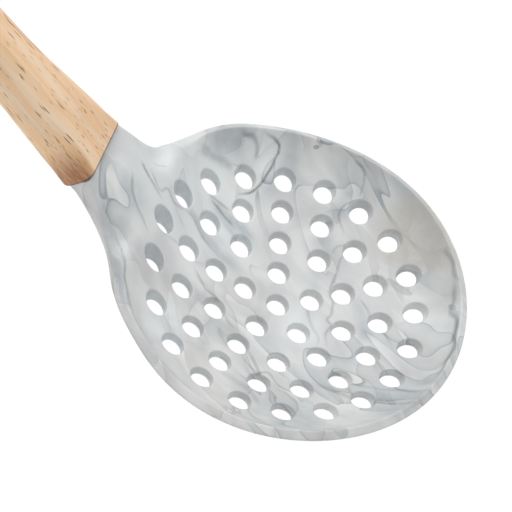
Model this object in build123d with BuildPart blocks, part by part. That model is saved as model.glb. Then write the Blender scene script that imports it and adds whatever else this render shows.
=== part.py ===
from build123d import *

import os
from math import atan2, cos, degrees, hypot, radians, sin, sqrt, tan

# A perforated kitchen skimmer: a silicone bowl moulded over a stiff core, on a wooden handle.
# Frame: origin at the centre drain hole, half-way through the bowl floor. +Z is the way the
# bowl opens and the drain holes run, +X points to the tip, and the handle rises toward -X.

# --- Driving dimensions, in millimetres and degrees ---------------------------------------
HEAD_HALF_LENGTH = 54.85    # plan of the bowl's outer edge
HEAD_HALF_WIDTH = 54.75
HEAD_CENTRE_X = -0.35       # its centre, a little behind the centre hole
WALL = 3.0                  # bowl wall, measured square to the wall
HANDLE_PITCH = 37.5         # rise of the handle above the bowl's plan
HANDLE_LENGTH = 212.0       # wooden handle, from the silicone to the butt

HOLE_DIAMETER = 6.5         # drain holes in the silicone
FIRST_RING_RADIUS = 11.0
RING_PITCH = 10.0
RING_COUNT = 4
HOLES_IN_FIRST_RING = 5     # each ring holds five more holes than the one inside it

# Dish of the bowl: how the middle of the wall rises from the centre hole.
RISE_ALONG = 0.0056         # per mm, times x squared
RISE_ACROSS = 0.0042        # per mm, times y squared
RISE_FADE_TO_TIP = 8.7e-6   # per mm squared, times x cubed, flattens the tip
WING_RISE_TO_TIP = 4.6e-5   # per mm squared, times x and y squared, lifts the front sides
FLOOR_TILT = 0.061          # the floor falls this much per mm toward the tip
LIP_RADIUS = 41.0           # the wall turns up into the lip outside this radius
LIP_RISE = 0.00308          # per mm squared, times the cube of the distance past it
LIP_REACH = 15.0            # past this much more the lip runs on straight
LIP_SIDE_EASE = 0.18        # share by which the lip is lower at the sides than at the tip
LIP_FADE_START = 20.0       # angle from the neck where the lip begins
LIP_FADE_SPAN = 35.0        # and the further angle over which it grows to full height

# Neck: where the wall thickens and lines up with the handle. Distances are behind the centre hole.
NECK_START = 46.0           # the underside and the core leave the dish here
NECK_END = 66.0             # and have run into the handle's line here
NECK_FILL_START = 23.0      # the top skin begins to fill up toward the neck's line here
NECK_FILL_FULL = 48.0       # reaches it here
NECK_FILL_FADE = 56.0       # and needs no more fill from here to the end of the neck
NECK_FILL_SOFTNESS = 1.2    # rounds the crease where the fill meets the bowl's sides
NECK_FLANK_START = 44.0     # behind here the fill slopes away toward the neck's sides
NECK_FLANK_FULL = 53.0
NECK_FLANK_INNER = 8.0      # across, the flanks run from here
NECK_FLANK_OUTER = 17.0     # to here
NECK_HALF_WIDTH = 11.0
NECK_FLARE = (-53.3, 18.9)   # a point of the outline between the bowl and the neck
NECK_JOIN_ANGLE = 146.0      # where the round outline turns into the flare
NECK_TAPER = 0.25           # how much the flare still closes where it meets the handle
NECK_THICKNESS = 9.9

# Rim: the top corner of the wall is cut square to it, leaving a thin upright land outside.
RIM_LAND = 0.5
RIM_FALL = 33.0             # outward fall of the cut face
RIM_CUT_END = 164.6         # the cut has run out at this angle from the tip
RIM_CUT_FADE = 21.9         # over this much angle
RIM_CUT_LIFT = 7.3          # by rising this far
RIM_CUT_IN = 6.0            # the cutter covers this band inside the outline
RIM_CUT_OUT = 3.0           # and this band outside it

# Handle end against the silicone, and the parts inside it.
HANDLE_END_X = -67.2        # middle of the wood's end face
HANDLE_END_Z = 33.5
END_WIDTH = 24.4            # handle against the silicone
END_THICKNESS = 12.2
GRIP_WIDTH = 18.2
GRIP_THICKNESS = 16.7
NARROWING_LENGTH = 42.0     # over this length the width comes in to the grip
FLAT_LENGTH = 17.0          # flats above and below slope down to the end from this far
CORNER = 7.0                # corner radius at the silicone, before the flats are cut
CORNER_GROWTH = 0.2         # it grows by this much per mm along the handle
ROUND_SHARE = 0.49          # up to this share of the thickness, which makes a round section
BUTT_SWELL = 4.0            # the butt is this much wider than the grip
BUTT_SWELL_START = 110.0
BUTT_SWELL_LENGTH = 85.0
BUTT_ROUNDING = 5.0
HANDLE_STEP = 10.6          # between the handle's sections
HANG_HOLE_DIAMETER = 6.0
HANG_HOLE_FROM_BUTT = 13.0

CORE_THICKNESS = 1.2
CORE_RADIUS = 46.5
CORE_HOLE_DIAMETER = 8.2
CORE_NECK_HALF_WIDTH = 7.0
TANG_DIAMETER = 6.4
TANG_DEPTH = 55.0           # length of the tang inside the wood
TANG_ROOT = 8.0             # length of the tang inside the silicone neck
PLATE_STOP = 3.0            # the core's flat part ends this short of the wood
GLUE_THICKNESS = 0.5
GLUE_POOL = 2.0             # glue between the end of the tang and the end of the bore

BORE_DIAMETER = TANG_DIAMETER + 2 * GLUE_THICKNESS
BORE_DEPTH = TANG_DEPTH + GLUE_POOL

# Reach of the blanks and cutters beyond the finished shape.
SECTION_STEP = 7.0          # between the blank's cross-sections
POINT_STEP = 6.0            # between the points of one cross-section
BEHIND = 80.0
AHEAD = 60.0
BESIDE = 60.0
CLEAR = 90.0
RIM_CUT_STEP = 8.0          # angle between the rim cutter's sections

Z_UP = Vector(0, 0, 1)

# Handle frame: along the handle, and square to it out of its top face.
along_handle = Vector(-cos(radians(HANDLE_PITCH)), 0, sin(radians(HANDLE_PITCH)))
handle_end = Vector(HANDLE_END_X, 0, HANDLE_END_Z)
handle_top = Vector(sin(radians(HANDLE_PITCH)), 0, cos(radians(HANDLE_PITCH)))
hang_hole_centre = handle_end + along_handle * (HANDLE_LENGTH - HANG_HOLE_FROM_BUTT)
side_plane = Plane(origin=handle_end, x_dir=along_handle, z_dir=(0, 1, 0))
hang_hole_plane = Plane(origin=hang_hole_centre, x_dir=(0, -1, 0), z_dir=handle_top)


def handle_plane(distance):
    """Plane across the handle, with its x axis across the width and y out of the top face."""
    return Plane(origin=handle_end + along_handle * distance, x_dir=(0, -1, 0), z_dir=along_handle)


def smooth_step(value):
    """Rises from 0 to 1, level at both ends, as value goes from 0 to 1."""
    value = min(max(value, 0.0), 1.0)
    return value * value * (3 - 2 * value)


def lip_height(x, y):
    """Extra height of the lip, which fades out toward the neck."""
    past = max(hypot(x, y) - LIP_RADIUS, 0.0)
    curved = min(past, LIP_REACH)
    rise = LIP_RISE * (curved**3 + 3 * LIP_REACH**2 * (past - curved))
    toward_tip = x / max(hypot(x, y), 1.0)
    rise *= 1 - LIP_SIDE_EASE * (1 - toward_tip**2) * (1 + toward_tip)
    from_neck = degrees(atan2(abs(y), -x))
    return rise * smooth_step((from_neck - LIP_FADE_START) / LIP_FADE_SPAN)


def dish_height(x, y):
    """Height of the middle of the wall in the bowl."""
    dish = RISE_ALONG * x**2 + RISE_ACROSS * y**2 - RISE_FADE_TO_TIP * x**3
    return dish + WING_RISE_TO_TIP * x * y**2 - FLOOR_TILT * x + lip_height(x, y)


def handle_axis_height(x):
    """Height of the handle's axis, drawn on over the bowl."""
    return HANDLE_END_Z + (HANDLE_END_X - x) * tan(radians(HANDLE_PITCH))


def neck_share(x, start, end):
    """How far the neck has taken over from the bowl at x."""
    return smooth_step((-x - start) / (end - start))


def core_height(x, y):
    """Height of the middle of the core, which runs from the dish into the handle's axis."""
    dish = dish_height(x, y)
    return dish + (handle_axis_height(x) - dish) * neck_share(x, NECK_START, NECK_END)


def upright_factor(height, x, y):
    """Upright distance through a sheet at that height for each mm square to it."""
    step = 0.05
    slope_x = (height(x + step, y) - height(x - step, y)) / (2 * step)
    slope_y = (height(x, y + step) - height(x, y - step)) / (2 * step)
    return sqrt(1 + slope_x**2 + slope_y**2)


def neck_skin_height(x, side):
    """Height of the neck's top skin (side 1) or underside (side -1), drawn on over the bowl."""
    return handle_axis_height(x) + side * NECK_THICKNESS / 2 / cos(radians(HANDLE_PITCH))


def skin_height(x, y, side):
    """Height of a skin that runs from the bowl into the neck."""
    bowl = dish_height(x, y) + side * WALL / 2 * upright_factor(dish_height, x, y)
    return bowl + (neck_skin_height(x, side) - bowl) * neck_share(x, NECK_START, NECK_END)


def top_height(x, y):
    """Height of the silicone's top skin, filled up to the neck's line behind the bowl."""
    skin = skin_height(x, y, 1)
    short = neck_skin_height(x, 1) - skin
    fill = (short + hypot(short, NECK_FILL_SOFTNESS)) / 2
    run_in = neck_share(x, NECK_FILL_START, NECK_FILL_FULL) * (1 - neck_share(x, NECK_FILL_FADE, NECK_END))
    flank = smooth_step((abs(y) - NECK_FLANK_INNER) / (NECK_FLANK_OUTER - NECK_FLANK_INNER))
    return skin + fill * run_in * (1 - flank * neck_share(x, NECK_FLANK_START, NECK_FLANK_FULL))


def bottom_height(x, y):
    """Height of the silicone's underside."""
    return skin_height(x, y, -1)


def core_top(x, y):
    """Height of the core's top face."""
    return core_height(x, y) + CORE_THICKNESS / 2 * upright_factor(core_height, x, y)


def core_bottom(x, y):
    """Height of the core's underside."""
    return core_height(x, y) - CORE_THICKNESS / 2 * upright_factor(core_height, x, y)


def section_plane(x):
    """Upright plane across the head at x, with its x axis along +Y and its y axis up."""
    return Plane(origin=(x, 0, 0), x_dir=(0, 1, 0), z_dir=(1, 0, 0))


def section_points(x, height):
    """Points across the head at x, at the given height function."""
    count = int(2 * BESIDE / POINT_STEP) + 1
    across = [-BESIDE + POINT_STEP * step for step in range(count)]
    return [(y, height(x, y)) for y in across]


def section_places():
    """Places along X of the blank's cross-sections."""
    return [-BEHIND + SECTION_STEP * step for step in range(int((AHEAD + BEHIND) / SECTION_STEP) + 1)]


def edge_radius(angle):
    """Plan distance from the oval's centre to its edge, at an angle from the tip."""
    across = hypot(HEAD_HALF_WIDTH * cos(radians(angle)), HEAD_HALF_LENGTH * sin(radians(angle)))
    return HEAD_HALF_LENGTH * HEAD_HALF_WIDTH / across


def rim_cut_height(angle):
    """Height at which the rim's cut face meets the outer edge, at an angle from the tip."""
    x = HEAD_CENTRE_X + edge_radius(angle) * cos(radians(angle))
    y = edge_radius(angle) * sin(radians(angle))
    edge = bottom_height(x, y) + RIM_LAND
    return edge + RIM_CUT_LIFT * smooth_step((abs(angle) - RIM_CUT_END + RIM_CUT_FADE) / RIM_CUT_FADE)


def handle_section(distance):
    """Width, thickness and corner radius of the handle at a distance from the silicone."""
    width = END_WIDTH + (GRIP_WIDTH - END_WIDTH) * smooth_step(distance / NARROWING_LENGTH)
    width += BUTT_SWELL * smooth_step((distance - BUTT_SWELL_START) / BUTT_SWELL_LENGTH)
    corner = min(CORNER + CORNER_GROWTH * distance, GRIP_THICKNESS * ROUND_SHARE)
    return width, GRIP_THICKNESS, corner


def drill_drains(diameter):
    """Cuts the whole drain pattern through the part being built."""
    Cylinder(diameter / 2, CLEAR, mode=Mode.SUBTRACT)
    for ring in range(RING_COUNT):
        radius = FIRST_RING_RADIUS + RING_PITCH * ring
        with PolarLocations(radius, HOLES_IN_FIRST_RING * (ring + 1), start_angle=180):
            Cylinder(diameter / 2, CLEAR, mode=Mode.SUBTRACT)


# Core: a thin perforated plate that follows the bowl and runs into a round tang.
with BuildPart() as core:
    for x in section_places():
        with BuildSketch(section_plane(x)):
            with BuildLine():
                top = Spline(*section_points(x, core_top))
                bottom = Spline(*section_points(x, core_bottom))
                Line(top @ 0, bottom @ 0)
                Line(top @ 1, bottom @ 1)
            make_face()
    loft()
    with BuildSketch(Plane.XY.offset(-CLEAR / 2)):
        Circle(CORE_RADIUS)
        with Locations((HANDLE_END_X / 2, 0)):
            Rectangle(-HANDLE_END_X, 2 * CORE_NECK_HALF_WIDTH)
    extrude(amount=2 * CLEAR, mode=Mode.INTERSECT)
    split(bisect_by=handle_plane(-PLATE_STOP), keep=Keep.BOTTOM)
    drill_drains(CORE_HOLE_DIAMETER)
    with BuildSketch(handle_plane(-TANG_ROOT)):
        Circle(TANG_DIAMETER / 2)
    extrude(amount=TANG_ROOT + TANG_DEPTH)
core.part.label = "core"

# Cutter that trims the rim's top corner square to the wall and runs out up the neck.
with BuildPart() as rim_cutter:
    count = int(2 * RIM_CUT_END / RIM_CUT_STEP) + 1
    for angle in [RIM_CUT_END * (2 * step / (count - 1) - 1) for step in range(count)]:
        outward = Vector(cos(radians(angle)), sin(radians(angle)), 0)
        with BuildSketch(Plane(origin=(HEAD_CENTRE_X, 0, 0), x_dir=outward, z_dir=outward.cross(Z_UP))):
            with BuildLine():
                radius = edge_radius(angle)
                height = rim_cut_height(angle)
                fall = tan(radians(RIM_FALL))
                Polyline(
                    (radius - RIM_CUT_IN, height + RIM_CUT_IN * fall),
                    (radius + RIM_CUT_OUT, height - RIM_CUT_OUT * fall),
                    (radius + RIM_CUT_OUT, CLEAR),
                    (radius - RIM_CUT_IN, CLEAR),
                    close=True,
                )
            make_face()
    loft()

# Silicone head: bowl, rim and neck in one moulding, closed around the core.
with BuildPart() as silicone_head:
    for x in section_places():
        with BuildSketch(section_plane(x)):
            with BuildLine():
                top = Spline(*section_points(x, top_height))
                bottom = Spline(*section_points(x, bottom_height))
                Line(top @ 0, bottom @ 0)
                Line(top @ 1, bottom @ 1)
            make_face()
    loft()
    with BuildSketch(Plane.XY.offset(-CLEAR / 2)):
        with BuildLine():
            rim = EllipticalCenterArc(
                (HEAD_CENTRE_X, 0),
                HEAD_HALF_LENGTH,
                HEAD_HALF_WIDTH,
                -NECK_JOIN_ANGLE,
                arc_size=2 * NECK_JOIN_ANGLE,
            )
            left = Spline(
                rim @ 1,
                NECK_FLARE,
                (HANDLE_END_X, NECK_HALF_WIDTH),
                tangents=[rim % 1, (-1, -NECK_TAPER)],
            )
            left_side = Line(left @ 1, (-BEHIND, NECK_HALF_WIDTH))
            mirror(left, about=Plane.XZ)
            mirror(left_side, about=Plane.XZ)
            Line((-BEHIND, NECK_HALF_WIDTH), (-BEHIND, -NECK_HALF_WIDTH))
        make_face()
    extrude(amount=2 * CLEAR, mode=Mode.INTERSECT)
    split(bisect_by=handle_plane(0), keep=Keep.BOTTOM)
    add(rim_cutter.part, mode=Mode.SUBTRACT)
    drill_drains(HOLE_DIAMETER)
    add(core.part, mode=Mode.SUBTRACT)
silicone_head.part.label = "silicone_head"

# Wooden handle: round in the grip, wider at both ends, with a flat above and below at the neck.
with BuildPart() as wood_handle:
    count = int(HANDLE_LENGTH / HANDLE_STEP)
    for distance in [HANDLE_LENGTH * (1 - step / count) for step in range(count + 1)]:
        with BuildSketch(handle_plane(distance)):
            RectangleRounded(*handle_section(distance))
    loft()
    fillet(wood_handle.faces().sort_by(Axis.X)[0].edges(), radius=BUTT_ROUNDING)
    with BuildSketch(side_plane):
        with BuildLine():
            Polyline(
                (0, END_THICKNESS / 2),
                (FLAT_LENGTH, GRIP_THICKNESS / 2),
                (FLAT_LENGTH, GRIP_THICKNESS),
                (-FLAT_LENGTH, GRIP_THICKNESS),
                (-FLAT_LENGTH, END_THICKNESS / 2),
                close=True,
            )
        make_face()
        mirror(about=Plane.XZ)
    extrude(amount=END_WIDTH, both=True, mode=Mode.SUBTRACT)
    with BuildSketch(handle_plane(0)):
        Circle(BORE_DIAMETER / 2)
    extrude(amount=BORE_DEPTH, mode=Mode.SUBTRACT)
    with Locations(hang_hole_plane):
        Cylinder(HANG_HOLE_DIAMETER / 2, 2 * END_WIDTH, mode=Mode.SUBTRACT)
wood_handle.part.label = "wood_handle"

# Glue bond: fills the bore around and behind the tang.
with BuildPart() as glue_bond:
    with BuildSketch(handle_plane(0)):
        Circle(BORE_DIAMETER / 2)
    extrude(amount=BORE_DEPTH)
    with BuildSketch(handle_plane(0)):
        Circle(TANG_DIAMETER / 2)
    extrude(amount=TANG_DEPTH, mode=Mode.SUBTRACT)
glue_bond.part.label = "glue_bond"

os.makedirs("parts", exist_ok=True)
export_step(core.part, "parts/core.step")
export_step(silicone_head.part, "parts/silicone_head.step")
export_step(wood_handle.part, "parts/wood_handle.step")
export_step(glue_bond.part, "parts/glue_bond.step")
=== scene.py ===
from math import cos, pi, radians, sin, tan

import bmesh
import bpy
import numpy as np
from mathutils import Matrix, Vector, geometry, noise


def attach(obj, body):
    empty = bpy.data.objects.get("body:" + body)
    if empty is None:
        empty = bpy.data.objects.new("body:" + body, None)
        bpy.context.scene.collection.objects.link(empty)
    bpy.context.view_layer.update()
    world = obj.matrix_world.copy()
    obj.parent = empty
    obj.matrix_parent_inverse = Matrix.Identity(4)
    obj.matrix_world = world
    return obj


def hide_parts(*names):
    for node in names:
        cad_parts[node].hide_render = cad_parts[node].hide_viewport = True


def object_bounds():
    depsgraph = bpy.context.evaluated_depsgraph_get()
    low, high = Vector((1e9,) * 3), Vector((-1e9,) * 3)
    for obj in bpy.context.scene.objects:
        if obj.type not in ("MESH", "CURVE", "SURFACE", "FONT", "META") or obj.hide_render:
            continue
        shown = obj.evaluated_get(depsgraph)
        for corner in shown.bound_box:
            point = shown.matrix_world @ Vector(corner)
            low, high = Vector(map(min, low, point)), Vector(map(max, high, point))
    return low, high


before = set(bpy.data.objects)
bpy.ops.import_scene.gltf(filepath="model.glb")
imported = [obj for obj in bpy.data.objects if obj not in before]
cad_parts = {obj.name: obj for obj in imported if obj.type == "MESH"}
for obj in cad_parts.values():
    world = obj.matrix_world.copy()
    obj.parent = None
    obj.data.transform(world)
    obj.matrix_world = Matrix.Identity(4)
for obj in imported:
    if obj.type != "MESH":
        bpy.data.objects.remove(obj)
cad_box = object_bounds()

# Perforated skimmer: marbled silicone bowl on a wooden handle.
# All shape functions work in millimetres in the CAD frame: the origin is the centre drain hole,
# +Z is the way the bowl opens, +X points to the tip, and the handle rises toward -X.
MM = 0.001

# --- Head, the same driving sizes as the CAD ------------------------------------------------
HALF_LENGTH, HALF_WIDTH, CENTRE_X = 54.85, 54.75, -0.35     # plan of the bowl's outer edge
WALL = 3.0
PITCH = radians(37.5)       # rise of the handle
HOLE_RADIUS, FIRST_RING, RING_PITCH, RING_COUNT, HOLES_IN_FIRST_RING = 3.25, 11.0, 10.0, 4, 5
RISE_ALONG, RISE_ACROSS, RISE_FADE, WING_RISE, TILT = 0.0056, 0.0042, 8.7e-6, 4.6e-5, 0.061
LIP_RADIUS, LIP_RISE, LIP_REACH, LIP_SIDE_EASE = 41.0, 0.00308, 15.0, 0.18
LIP_FADE_START, LIP_FADE_SPAN = 20.0, 35.0
NECK_START, NECK_END = 46.0, 66.0
NECK_FILL_START, NECK_FILL_FULL, NECK_FILL_FADE, NECK_FILL_SOFTNESS = 23.0, 48.0, 56.0, 1.2
NECK_FLANK_START, NECK_FLANK_FULL, NECK_FLANK_INNER, NECK_FLANK_OUTER = 44.0, 53.0, 8.0, 17.0
NECK_THICKNESS, NECK_HALF_WIDTH = 9.9, 11.0
NECK_FLARE, NECK_FLARE_WAY = (-53.3, 18.9), (-0.735, -0.678)    # a point of the outline, its direction
NECK_JOIN, NECK_TAPER, NECK_TAIL = radians(146.0), 0.25, -76.0
FLARE_LENGTH, NECK_LENGTH = 14.0, 17.0      # runs of outline on either side of that point
RIM_LAND, RIM_FALL, RIM_CUT_END, RIM_CUT_FADE, RIM_CUT_LIFT = 0.5, radians(33.0), 164.6, 21.9, 7.3
HANDLE_END = np.array([-67.2, 0.0, 33.5])   # middle of the wood's end face
ALONG = np.array([-cos(PITCH), 0.0, sin(PITCH)])
OUT_OF_TOP = np.array([sin(PITCH), 0.0, cos(PITCH)])
NECK_CUT_RAMP = (40.0, 16.0)    # start and length, behind the centre, of the softer neck edges
NECK_LIFT_RAMP = (52.0, 8.0)    # and of the stretch where the cut has run out along the neck

# --- Mesh detail ----------------------------------------------------------------------------
SKIN_STEP = 0.45            # spacing of the visible skin's vertices
BACK_STEP = 1.0             # spacing on the underside
EDGE_STEP = 0.75            # spacing along the outline
STRIP_WIDTH = 4.6           # band of regular quads inside the rim
RIM_SOFTNESS = 0.32         # rounding of the rim's edges
NECK_SOFTNESS = 1.25        # and how much more the neck's edges are rounded
DENSE_POINTS, SMOOTH_REACH, PROFILE_POINTS = 180, 40, 40    # points of a section in the works
END_HOLD = 1.6              # length over which a section's ends stay unsmoothed
PLAN_LOW, PLAN_HIGH, PLAN_SIDE = -77.0, 56.0, 56.0          # block of plan that holds the head
HOLE_SEGMENTS = 36
HOLE_ROUND_TOP, HOLE_ROUND_BACK = 0.45, 0.3         # rounding of the holes' edges
HOLE_TAPER, HOLE_NARROWING = 0.3, 0.1               # wider mouth, slightly tighter back
HOLE_EDGE_DEPTH = 0.45                              # depth over which the mouth's edge is rounded
NECK_END_ROUND = 0.5                                # rounding where the neck meets the wood
FLASH_HEIGHT, FLASH_STEP = 0.75, 0.17               # small moulding step near the back of each hole
HOLE_MOUTH_RADIUS = HOLE_RADIUS + HOLE_TAPER
HOLE_BACK_RADIUS = HOLE_RADIUS - HOLE_NARROWING - FLASH_STEP


def smooth_step(value):
    value = np.clip(value, 0.0, 1.0)
    return value * value * (3 - 2 * value)


def lip_height(x, y):
    past = np.maximum(np.hypot(x, y) - LIP_RADIUS, 0.0)
    curved = np.minimum(past, LIP_REACH)
    rise = LIP_RISE * (curved**3 + 3 * LIP_REACH**2 * (past - curved))
    toward_tip = x / np.maximum(np.hypot(x, y), 1.0)
    rise = rise * (1 - LIP_SIDE_EASE * (1 - toward_tip**2) * (1 + toward_tip))
    from_neck = np.degrees(np.arctan2(np.abs(y), -x))
    return rise * smooth_step((from_neck - LIP_FADE_START) / LIP_FADE_SPAN)


def dish_height(x, y):
    """Height of the middle of the wall in the bowl."""
    dish = RISE_ALONG * x**2 + RISE_ACROSS * y**2 - RISE_FADE * x**3
    return dish + WING_RISE * x * y**2 - TILT * x + lip_height(x, y)


def neck_share(x, start, end):
    return smooth_step((-x - start) / (end - start))


def neck_skin_height(x, side):
    """Height of the neck's top skin (side 1) or underside (side -1), drawn on over the bowl."""
    return HANDLE_END[2] + (HANDLE_END[0] - x) * tan(PITCH) + side * NECK_THICKNESS / 2 / cos(PITCH)


def skin_height(x, y, side):
    """Height of a skin that runs from the bowl into the neck."""
    step = 0.05
    slope_x = (dish_height(x + step, y) - dish_height(x - step, y)) / (2 * step)
    slope_y = (dish_height(x, y + step) - dish_height(x, y - step)) / (2 * step)
    bowl = dish_height(x, y) + side * WALL / 2 * np.sqrt(1 + slope_x**2 + slope_y**2)
    return bowl + (neck_skin_height(x, side) - bowl) * neck_share(x, NECK_START, NECK_END)


def top_height(x, y):
    """Height of the top skin, filled up to the neck's line behind the bowl."""
    skin = skin_height(x, y, 1)
    short = neck_skin_height(x, 1) - skin
    fill = (short + np.hypot(short, NECK_FILL_SOFTNESS)) / 2
    run_in = neck_share(x, NECK_FILL_START, NECK_FILL_FULL) * (1 - neck_share(x, NECK_FILL_FADE, NECK_END))
    flank = smooth_step((np.abs(y) - NECK_FLANK_INNER) / (NECK_FLANK_OUTER - NECK_FLANK_INNER))
    return skin + fill * run_in * (1 - flank * neck_share(x, NECK_FLANK_START, NECK_FLANK_FULL))


def back_height(x, y):
    return skin_height(x, y, -1)


def hole_centres():
    centres = [(0.0, 0.0)]
    for ring in range(RING_COUNT):
        radius, count = FIRST_RING + RING_PITCH * ring, HOLES_IN_FIRST_RING * (ring + 1)
        turns = [pi + 2 * pi * step / count for step in range(count)]
        centres += [(radius * cos(turn), radius * sin(turn)) for turn in turns]
    return centres


def hermite(start, start_way, end, end_way, count):
    """Curve from start to end with the given end directions, without its last point."""
    reach = float(np.linalg.norm(np.subtract(end, start)))
    share = np.arange(count)[:, None] / count
    way_in = np.array(start_way) / np.linalg.norm(start_way) * reach
    way_out = np.array(end_way) / np.linalg.norm(end_way) * reach
    cubes, squares = share**3, share**2
    return ((2 * cubes - 3 * squares + 1) * start + (cubes - 2 * squares + share) * way_in
            + (3 * squares - 2 * cubes) * end + (cubes - squares) * way_out)


def half_outline():
    """Outline from the tip round the +Y side to behind the handle's end."""
    turns = np.linspace(0, NECK_JOIN, int(NECK_JOIN * HALF_LENGTH / EDGE_STEP))[:-1]
    oval = np.stack([CENTRE_X + HALF_LENGTH * np.cos(turns), HALF_WIDTH * np.sin(turns)], 1)
    join = np.array([CENTRE_X + HALF_LENGTH * cos(NECK_JOIN), HALF_WIDTH * sin(NECK_JOIN)])
    join_way = (-HALF_LENGTH * sin(NECK_JOIN), HALF_WIDTH * cos(NECK_JOIN))
    flare, end = np.array(NECK_FLARE), np.array([HANDLE_END[0], NECK_HALF_WIDTH])
    first = hermite(join, join_way, flare, NECK_FLARE_WAY, int(FLARE_LENGTH / EDGE_STEP))
    second = hermite(flare, NECK_FLARE_WAY, end, (-1, -NECK_TAPER), int(NECK_LENGTH / EDGE_STEP))
    tail = np.stack([np.linspace(end[0], NECK_TAIL, 12), np.full(12, NECK_HALF_WIDTH)], 1)
    return np.vstack([oval, first, second, tail])


def outline():
    """Whole outline from the neck's -Y end round the tip to its +Y end, with outward normals."""
    half = half_outline()
    points = np.vstack([(half * (1, -1))[:0:-1], half])
    ways = np.gradient(points, axis=0)
    for _ in range(2):
        ways[1:-1] = (ways[:-2] + 2 * ways[1:-1] + ways[2:]) / 4
    ways /= np.linalg.norm(ways, axis=1)[:, None]
    return points, np.stack([ways[:, 1], -ways[:, 0]], 1)


def rim_profiles():
    """Closed-off wall sections all along the outline, from the top skin over the rim to the back.

    Each section starts and ends STRIP_WIDTH inside the rim, where the flat skins take over.
    Returns an array of outline steps by profile points, in millimetres.
    """
    points, outward = outline()
    edge_x, edge_y = points[:, 0], points[:, 1]
    low, high = back_height(edge_x, edge_y), top_height(edge_x, edge_y)
    angle = np.degrees(np.arctan2(np.abs(edge_y), edge_x - CENTRE_X))
    lift = RIM_CUT_LIFT * smooth_step((angle - RIM_CUT_END + RIM_CUT_FADE) / RIM_CUT_FADE)
    in_neck = smooth_step((-edge_x - NECK_CUT_RAMP[0]) / NECK_CUT_RAMP[1])
    neck_lift = RIM_CUT_LIFT * smooth_step((-edge_x - NECK_LIFT_RAMP[0]) / NECK_LIFT_RAMP[1])
    knee = np.minimum(low + RIM_LAND + lift + neck_lift, high - 0.02)
    inset = np.zeros(len(points))
    for _ in range(40):
        over = top_height(edge_x - outward[:, 0] * inset, edge_y - outward[:, 1] * inset)
        inset = np.maximum(inset + 0.3 * (over - knee - inset * tan(RIM_FALL)), 0.0)
    softness = RIM_SOFTNESS + NECK_SOFTNESS * in_neck

    def skin_stretch(height, start, end, count):
        depth = start + (end - start) * np.linspace(0, 1, count)[None, :]
        x = edge_x[:, None] - outward[:, 0:1] * depth
        y = edge_y[:, None] - outward[:, 1:2] * depth
        return np.stack([x, y, height(x, y)], 2)

    def straight(start, end, count):
        share = np.linspace(0, 1, count)[None, :, None]
        return start[:, None, :] + (end - start)[:, None, :] * share

    reach = (inset + STRIP_WIDTH)[:, None]
    top = skin_stretch(top_height, reach, inset[:, None], 48)
    knee_point = np.stack([edge_x, edge_y, knee], 1)
    low_point = np.stack([edge_x, edge_y, low], 1)
    band = straight(top[:, -1], knee_point, 26)[:, 1:]
    land = straight(knee_point, low_point, 16)[:, 1:]
    back = skin_stretch(back_height, 0.0, STRIP_WIDTH + 0 * reach, 48)[:, 1:]
    section = np.concatenate([top, band, land, back], axis=1)
    return round_off(section, softness)


def round_off(sections, softness):
    """Rounds the corners of each section with a smoothing of the given width in millimetres.

    The ends stay put. Points crowd where a section bends most.
    """
    rounded = []
    for section, width in zip(sections, softness):
        steps = np.linalg.norm(np.diff(section, axis=0), axis=1)
        run = np.concatenate([[0.0], np.cumsum(steps)])
        even = np.linspace(0, run[-1], DENSE_POINTS)
        dense = np.stack([np.interp(even, run, section[:, axis]) for axis in range(3)], 1)
        gap = even[1]
        reach = np.arange(-SMOOTH_REACH, SMOOTH_REACH + 1) * gap
        weights = np.exp(-0.5 * (reach / width) ** 2)
        weights /= weights.sum()
        before = 2 * dense[0] - dense[SMOOTH_REACH:0:-1]
        after = 2 * dense[-1] - dense[-2:-SMOOTH_REACH - 2:-1]
        padded = np.vstack([before, dense, after])
        smooth = np.stack([np.convolve(padded[:, axis], weights, "valid") for axis in range(3)], 1)
        hold = smooth_step(np.minimum(even, run[-1] - even) / END_HOLD)[:, None]
        shape = dense + (smooth - dense) * hold
        bend = np.linalg.norm(np.diff(shape, 2, axis=0), axis=1)
        crowd = np.concatenate([[0.0], bend, [0.0]]) / gap**2
        density = np.cumsum(0.35 + np.minimum(crowd, 3.0))
        density = (density - density[0]) / (density[-1] - density[0])
        places = np.interp(np.linspace(0, 1, PROFILE_POINTS), density, np.arange(DENSE_POINTS))
        columns = [np.interp(places, np.arange(DENSE_POINTS), shape[:, axis]) for axis in range(3)]
        rounded.append(np.stack(columns, 1))
    return np.array(rounded)


def lattice(step):
    """Even triangular lattice over the head's plan."""
    rows = []
    for row, y in enumerate(np.arange(-PLAN_SIDE, PLAN_SIDE, step * 0.866)):
        x = np.arange(PLAN_LOW, PLAN_HIGH, step) + (row % 2) * step / 2
        rows.append(np.stack([x, np.full(len(x), y)], 1))
    return np.vstack(rows)


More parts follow.
